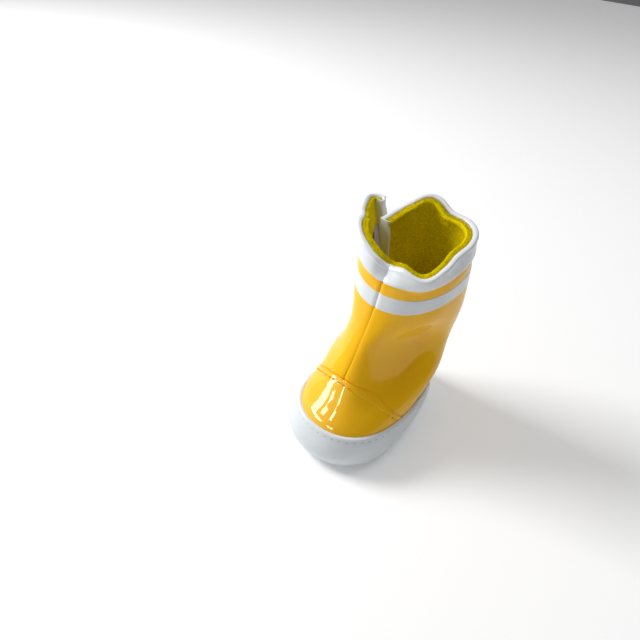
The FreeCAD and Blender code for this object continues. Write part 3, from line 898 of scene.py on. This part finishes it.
def stripe_section():
    """The stripe lies almost flush on the coated fabric."""
    top = mm("boot_height") - mm("stripe_drop")
    low = top - mm("stripe_height")
    section = [(low, 0.01), (low + 0.04, 0.1), (low + 0.15, 0.14)]
    section += [(level, 0.14) for level in np.linspace(low + 0.8, top - 0.8, 5)]
    section += [(top - 0.15, 0.14), (top - 0.04, 0.1), (top, 0.01)]
    section += [(level, -0.2) for level in np.linspace(top - 0.5, low + 0.5, 4)]
    return section


# The flap -------------------------------------------------------------------------------------

FLAP_REST = 22.0          # degrees that the flap stands open at rest
FLAP_TURN_ARC = 14.0      # degrees round the boot over which the flap's root bends
FLAP_SPREAD = 20.0        # more degrees of opening at the top of the free edge
TIP_START = 236.5         # angle where the flap's tip starts to curl in
TIP_CURL = 80.0           # degrees that the tip curls in


def turn_about(points, pivot, axis, degrees):
    """Turns each point by its own angle about an axis through a pivot."""
    turn = np.radians(degrees)[..., None]
    axis = np.asarray(axis, float)
    arm = points - pivot
    along = (arm @ axis)[..., None] * axis
    return pivot + along + (arm - along) * np.cos(turn) + np.cross(axis, arm) * np.sin(turn)


def flap_place(height, angle, out):
    """A point of the flap where it rests: turned open about the hinge, with its tip curled in."""
    height, angle, out = np.broadcast_arrays(*(np.asarray(value, float) for value in (height, angle, out)))

    def opened(around, outwards):
        root = smooth((SIDE_SEAM - around) / FLAP_TURN_ARC)
        free = smooth((SIDE_SEAM - around) / (SIDE_SEAM - FLAP_END)) * smooth((height - 50.0) / 33.0)
        points = surface(height, around, outwards, no_tuck, FLAP_BENDS)
        return turn_about(points, np.array(HINGE) / MM, HINGE_AXIS, FLAP_REST * root + FLAP_SPREAD * free)

    points = opened(angle, out)
    pivot = opened(np.full_like(angle, TIP_START), np.full_like(out, -3.2))
    curl = TIP_CURL * smooth((TIP_START - angle) / (TIP_START - FLAP_END)) * smooth((height - 52.0) / 26.0)
    return turn_about(points, pivot, HINGE_AXIS, -curl)


def bend_at_root(piece):
    """Bakes the piece's transform into its mesh; the flap's bend behind the side seam is made in flap_place.
    """
    start = surface(60.0, SIDE_SEAM - 0.5) * MM
    end = flap_place(np.array([60.0]), np.array([SIDE_SEAM - FLAP_TURN_ARC]), 0.0)[0] * MM
    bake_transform(piece)


class BootFlap(bpy.types.Operator):
    """Make the side flap: panel, fleece, binding and stripe"""
    bl_idname = "boot.flap"
    bl_label = "Flap"

    def execute(self, context):
        rim = mm("boot_height")
        angles = steps(FLAP_END, SIDE_SEAM - HALF_SEAM, 1.2)
        heights = np.linspace(SLIT + 0.4, rim, 48)
        panel = wall("flap_panel", angles, heights, lambda h, a: flap_place(h, a, 0.0), mm("upper_thickness"))
        apply_modifier(panel, "BEVEL", width=0.25 * MM, segments=3, limit_method="ANGLE", angle_limit=1.0)
        fleece_out = -mm("upper_thickness") - GLUE
        heights = np.linspace(SLIT + 1.0, rim + 0.2, 48)
        fleece_angles = steps(FLAP_END + 1.5, SIDE_SEAM - HALF_SEAM, 1.2)

        def fleece_place(height, angle):
            lumps = np.array([noise.noise(Vector((h, a * 0.35, 3.0)) * 0.9) for h, a in zip(height, angle)])
            return flap_place(height, angle, fleece_out + 0.15 * lumps)

        fleece = wall("flap_lining", fleece_angles, heights, fleece_place, 1.5)
        apply_modifier(fleece, "BEVEL", width=0.5 * MM, segments=3, limit_method="ANGLE", angle_limit=1.0)
        binding = band("flap_binding", angles, binding_section(), flap_place)
        stripe = band("flap_stripe", angles, stripe_section(), flap_place)
        turned_in = [(FLAP_END + ahead, out) for ahead, out in (
            (6.5, -2.75), (6.5, -3.05), (0.2, -3.05), (-1.2, -2.6), (-1.8, -1.6), (-1.8, -0.6), (-1.0, 0.3),
            (1.0, 0.5), (1.0, -2.7),
        )]
        levels = np.linspace(SLIT + 1.0, rim + 0.4, 44)
        edge = band("flap_edge", levels, turned_in, lambda angle, level, out: flap_place(level, angle, out))
        for piece, node, material, slot in (
            (panel, "flap_panel", "upper", "yellow_upper"), (fleece, "flap_lining", "fleece", "fleece"),
            (binding, "flap_binding", "trim", "white_trim"), (stripe, "flap_stripe", "trim", "white_trim"),
            (edge, "flap_binding", "trim", "white_trim"),
        ):
            finish_piece(piece, finish(material), None, slot, node)
            bend_at_root(piece)
        return {"FINISHED"}


TAPE_START, TAPE_END = 233.0, 256.0
TAPE_BOTTOM, TAPE_TOP = 47.0, 72.0
TAPE_THICKNESS = 0.7


class BootTapes(bpy.types.Operator):
    """Make the hook tape inside the flap and the loop tape on the underlap"""
    bl_idname = "boot.tapes"
    bl_label = "Tapes"

    def execute(self, context):
        angles = steps(TAPE_START, TAPE_END, 0.8)
        heights = np.linspace(TAPE_BOTTOM, TAPE_TOP, 60)
        rng = np.random.default_rng(5)
        face = GLUE + TAPE_THICKNESS

        def loops(height, angle):
            return surface(height, angle, face + rng.uniform(-0.12, 0.12, height.shape), tuck)

        loop = wall("loop_tape", angles, heights, loops, TAPE_THICKNESS - 0.1)
        finish_piece(loop, finish("tape"), "boot", "hook_and_loop", "loop_tape")
        back = -mm("upper_thickness") - GLUE - 1.5

        def hooks(height, angle):
            return flap_place(height, angle, back + 0.1)

        hook = wall("hook_tape", angles, heights, hooks, TAPE_THICKNESS)
        finish_piece(hook, finish("tape"), None, "hook_and_loop", "hook_tape")
        bend_at_root(hook)
        return {"FINISHED"}


# Stitches and pile ----------------------------------------------------------------------------

def tube(mesh, points, radius, sides=6):
    """Adds a closed tube through a few points to a bmesh, thinner at its ends."""
    rings = []
    count = len(points)
    for i, point in enumerate(points):
        along = (points[min(i + 1, count - 1)] - points[max(i - 1, 0)]).normalized()
        across = along.orthogonal().normalized()
        other = along.cross(across)
        thin = radius * (0.45 if i in (0, count - 1) else 1.0)
        rings.append([
            mesh.verts.new(point + (across * math.cos(t) + other * math.sin(t)) * thin)
            for t in (math.tau * k / sides for k in range(sides))
        ])
    for low, high in zip(rings, rings[1:]):
        for k in range(sides):
            mesh.faces.new((low[k], low[(k + 1) % sides], high[(k + 1) % sides], high[k]))
    mesh.faces.new(tuple(reversed(rings[0])))
    mesh.faces.new(tuple(rings[-1]))


def along_path(path, pitch):
    """Places at an even pitch along close points: each a middle and a direction, in metres."""
    gaps = np.linalg.norm(np.diff(path, axis=0), axis=1)
    travelled = np.concatenate([[0.0], np.cumsum(gaps)])
    count = max(1, int(travelled[-1] / pitch))
    for place in (np.arange(count) + 0.5) * travelled[-1] / count:
        middle = np.array([np.interp(place, travelled, path[:, k]) for k in range(3)])
        ahead = np.array([np.interp(place + 0.3, travelled, path[:, k]) for k in range(3)])
        yield Vector(middle * MM), Vector(ahead - middle).normalized()


def stitch_row(name, paths, pitch, stitch_length, radius):
    """One object of separate threads along some paths; each thread dips at both ends."""
    mesh = bmesh.new()
    for path, inwards in paths:
        for middle, along in along_path(path, pitch):
            half = along * stitch_length / 2 * MM
            sink = Vector(inwards(np.array(middle) / MM)) * radius * MM
            tube(mesh, [middle - half + sink * 1.4, middle - half * 0.6, middle + half * 0.6,
                        middle + half + sink * 1.4], radius * MM)
    data = bpy.data.meshes.new(name)
    mesh.to_mesh(data)
    mesh.free()
    piece = bpy.data.objects.new(name, data)
    bpy.context.scene.collection.objects.link(piece)
    return piece


def to_middle(point):
    """Unit direction from a point on the wall towards the middle of the boot."""
    inwards = np.array([-point[0], min(max(point[1], -14.0), SHAFT_CENTRE) - point[1], 0.0])
    return inwards / max(np.linalg.norm(inwards), 1e-6)


def tape_lines(place):
    """The four sides of a tape's stitching, each with its inward direction."""
    inset, turn = 1.2, 3.3
    low, high = TAPE_BOTTOM + inset, TAPE_TOP - inset
    start, end = TAPE_START + turn, TAPE_END - turn
    lines = [place(np.full(40, level), np.linspace(start, end, 40)) for level in (low, high)]
    lines += [place(np.linspace(low, high, 80), np.full(80, angle)) for angle in (start, end)]
    return [(line, to_middle) for line in lines]


class BootStitches(bpy.types.Operator):
    """Make the rows of stitches"""
    bl_idname = "boot.stitches"
    bl_label = "Stitches"

    def execute(self, context):
        angles = np.arange(0.0, 361.0, 1.0)
        row = surface(np.full(len(angles), mm("foxing_height") - 1.5), angles, mm("foxing_thickness") - 0.12)
        piece = stitch_row("foxing_stitches", [(row, to_middle)], mm("foxing_pitch"), 1.5, 0.2)
        finish_piece(piece, finish("white_thread"), "boot", "white_thread", "foxing_stitches")

        angles = np.arange(-80.0, 80.5, 0.5)
        height = cap_height(angles, 1.9)
        shown = height > mm("foxing_height") + 0.6
        row = surface(height[shown], angles[shown], 0.02)
        piece = stitch_row("toe_cap_stitches", [(row, to_middle)], mm("cap_pitch"), 1.35, 0.2)
        finish_piece(piece, finish("orange_thread"), "boot", "orange_thread", "toe_cap_stitches")

        lines = tape_lines(lambda height, angle: surface(height, angle, GLUE + TAPE_THICKNESS, tuck))
        piece = stitch_row("loop_tape_stitches", lines, 2.2, 1.5, 0.18)
        finish_piece(piece, finish("orange_thread"), "boot", "orange_thread", "loop_tape_stitches")

        lines = tape_lines(lambda height, angle: flap_place(height, angle, 0.08))
        piece = stitch_row("hook_tape_stitches", lines, 2.2, 1.5, 0.18)
        finish_piece(piece, finish("orange_thread"), None, "orange_thread", "hook_tape_stitches")
        bend_at_root(piece)
        return {"FINISHED"}


def fibres(name, roots, rng, reach, radius):
    """One object of short bent fibres, each three sided, from a list of (root, direction)."""
    points, faces = [], []
    for root, outwards in roots:
        lean = Vector((rng.uniform(-1, 1), rng.uniform(-1, 1), rng.uniform(-0.6, 1))) * 0.8
        one = (outwards + lean).normalized()
        two = (one + Vector((rng.uniform(-1, 1), rng.uniform(-1, 1), rng.uniform(-1, 1))) * 0.7).normalized()
        long = reach * rng.uniform(0.5, 1.0)
        middle = root + one * long * 0.5
        tip = middle + two * long * 0.5
        across = one.orthogonal().normalized()
        other = one.cross(across)
        start = len(points)
        for centre, thin in ((root, 1.0), (middle, 0.8)):
            for k in range(3):
                turn = math.tau * k / 3
                points.append(centre + (across * math.cos(turn) + other * math.sin(turn)) * radius * thin)
        points.append(tip)
        for k in range(3):
            n = (k + 1) % 3
            faces.append((start + k, start + n, start + 3 + n, start + 3 + k))
            faces.append((start + 3 + k, start + 3 + n, start + 6))
        faces.append((start + 2, start + 1, start))
    data = bpy.data.meshes.new(name)
    data.from_pydata([tuple(p) for p in points], [], faces)
    piece = bpy.data.objects.new(name, data)
    bpy.context.scene.collection.objects.link(piece)
    return piece


class BootPile(bpy.types.Operator):
    """Make the loose pile of the fleece round the rim"""
    bl_idname = "boot.pile"
    bl_label = "Fleece pile"

    def execute(self, context):
        rng = random.Random(11)
        rim = mm("boot_height")
        inner = -mm("upper_thickness") - GLUE - mm("lining_thickness")
        count = 7000
        angles = np.array([rng.uniform(SIDE_SEAM - 360, UNDERLAP_END) for _ in range(count)])
        share = np.array([rng.random() for _ in range(count)])
        top = share < 0.5
        height = np.where(top, rim + 0.35, rim - 14.0 * (share - 0.5) * 2)
        out = np.where(top, -1.5 - 1.9 * share * 2, inner - 0.1)
        hidden = np.where(np.mod(angles, 360.0) > UNDERLAP_END + 0.01, 0.0, 1.0)
        places = surface(height, angles, out, lambda h, a: tuck(h, a) * hidden)
        roots = []
        for place, upright in zip(places, top):
            up = Vector((0, 0, 1.0 if upright else 0.15))
            inwards = Vector(to_middle(place)) * (0.3 if upright else 1.0)
            roots.append((Vector(place) * MM, (up + inwards).normalized()))
        piece = fibres("lining_pile", roots, rng, 0.9 * MM, 0.035 * MM)
        finish_piece(piece, finish("fleece"), "boot", "fleece")

        angles = np.array([rng.uniform(FLAP_END + 2, SIDE_SEAM - 1) for _ in range(count // 6)])
        outs = np.array([rng.uniform(-2.6, -1.2) for _ in range(count // 6)])
        places = flap_place(np.full(len(angles), rim + 0.15), angles, outs)
        roots = [(Vector(place) * MM, Vector((0, 0, 1))) for place in places]
        piece = fibres("flap_pile", roots, rng, 0.8 * MM, 0.035 * MM)
        finish_piece(piece, finish("fleece"), None, "fleece")
        bend_at_root(piece)
        return {"FINISHED"}


# Stage ----------------------------------------------------------------------------------------

def area_light(name, place, target, size, power, tone=(1.0, 1.0, 1.0)):
    """A soft light that faces its target."""
    data = bpy.data.lights.new(name, "AREA")
    data.shape = "RECTANGLE"
    data.size, data.size_y = size
    data.energy = power
    data.color = tone
    light = bpy.data.objects.new(name, data)
    light.location = place
    light.rotation_euler = (Vector(target) - Vector(place)).to_track_quat("-Z", "Y").to_euler()
    bpy.context.scene.collection.objects.link(light)
    return light


# A window that only the toe cap reflects. Each pane: name, azimuth, elevation, width and height in metres.
WINDOW_PANES = (
    ("window_left", -49.0, 17.0, (0.170, 0.30)),
    ("window_middle", -29.0, 27.0, (0.080, 0.14)),
    ("window_right", -8.0, 31.0, (0.060, 0.18)),
    ("window_corner", -34.0, 5.0, (0.26, 0.08)),
    ("window_low", -2.0, 4.0, (0.16, 0.045)),
)
PANE_DISTANCE = 0.6       # metres from the toe
PANE_BRIGHTNESS = 24.0    # watts per square metre of pane, over pi
TOE_MIDDLE = (0.0, -0.028, 0.024)

CAMERA_PLACE = (0.08595, -0.14866, 0.18392)
CAMERA_AZIMUTH, CAMERA_ELEVATION, CAMERA_ROLL = 37.99, 38.51, 4.99
CAMERA_LENS = 30.93


class BootStage(bpy.types.Operator):
    """Make the camera, the floor and the lights"""
    bl_idname = "boot.stage"
    bl_label = "Stage"

    def execute(self, context):
        scene = context.scene
        data = bpy.data.cameras.new("camera")
        data.lens = CAMERA_LENS
        data.clip_start = 0.01
        camera = bpy.data.objects.new("camera", data)
        turn = Matrix.Rotation(math.radians(CAMERA_AZIMUTH), 4, "Z")
        tilt = Matrix.Rotation(math.radians(90.0 - CAMERA_ELEVATION), 4, "X")
        roll = Matrix.Rotation(math.radians(CAMERA_ROLL), 4, "Z")
        camera.matrix_world = Matrix.Translation(CAMERA_PLACE) @ turn @ tilt @ roll
        scene.collection.objects.link(camera)
        scene.camera = camera

        bpy.ops.object.select_all(action="DESELECT")
        bpy.ops.mesh.primitive_plane_add(size=3.0)
        floor = context.active_object
        floor.name = "studio_floor"
        floor.data.materials.append(finish("paper"))

        area_light("key_light", place=(-0.80, -0.25, 0.62), target=(0, 0, 0.04), size=(0.4, 0.4), power=9.0)
        area_light("top_light", place=(0.10, 0.30, 0.95), target=(0, 0, 0.03), size=(0.6, 0.6), power=2.4)
        toe = Vector(TOE_MIDDLE)
        panes = bpy.data.collections.new("reflects_the_window")
        for name, azimuth, elevation, size in WINDOW_PANES:
            turn, tilt = math.radians(azimuth), math.radians(elevation)
            away = Vector((math.sin(turn) * math.cos(tilt), -math.cos(turn) * math.cos(tilt), math.sin(tilt)))
            power = PANE_BRIGHTNESS * math.pi * size[0] * size[1]
            pane = area_light(name, toe + away * PANE_DISTANCE, toe, size, power, (1.0, 0.97, 0.93))
            pane.visible_diffuse = False
            pane.light_linking.receiver_collection = panes
        scene.world = studio_world()
        scene.view_settings.view_transform = "Standard"
        return {"FINISHED"}


# Add-on ---------------------------------------------------------------------------------------

OPERATORS = (
    BootStage, BootToeCap, BootQuarters, BootFoxing, BootSole, BootLining, BootRim, BootFlap, BootTapes,
    BootStitches, BootPile,
)


class BootPanel(bpy.types.Panel):
    """Lists the steps that make the boot"""
    bl_idname = "VIEW3D_PT_rain_boot"
    bl_label = "Rain boot"
    bl_space_type = "VIEW_3D"
    bl_region_type = "UI"
    bl_category = "Rain boot"

    def draw(self, context):
        for operator in OPERATORS:
            self.layout.operator(operator.bl_idname)


CLASSES = (BootSizes, BootColours) + OPERATORS + (BootPanel,)


def register():
    for item in CLASSES:
        bpy.utils.register_class(item)
    bpy.types.Scene.boot_sizes = bpy.props.PointerProperty(type=BootSizes)
    bpy.types.Scene.boot_colours = bpy.props.PointerProperty(type=BootColours)


def unregister():
    del bpy.types.Scene.boot_colours
    del bpy.types.Scene.boot_sizes
    for item in reversed(CLASSES):
        bpy.utils.unregister_class(item)


def main():
    register()
    for operator in OPERATORS:
        group, name = operator.bl_idname.split(".")
        getattr(getattr(bpy.ops, group), name)()


if __name__ == "__main__":
    main()
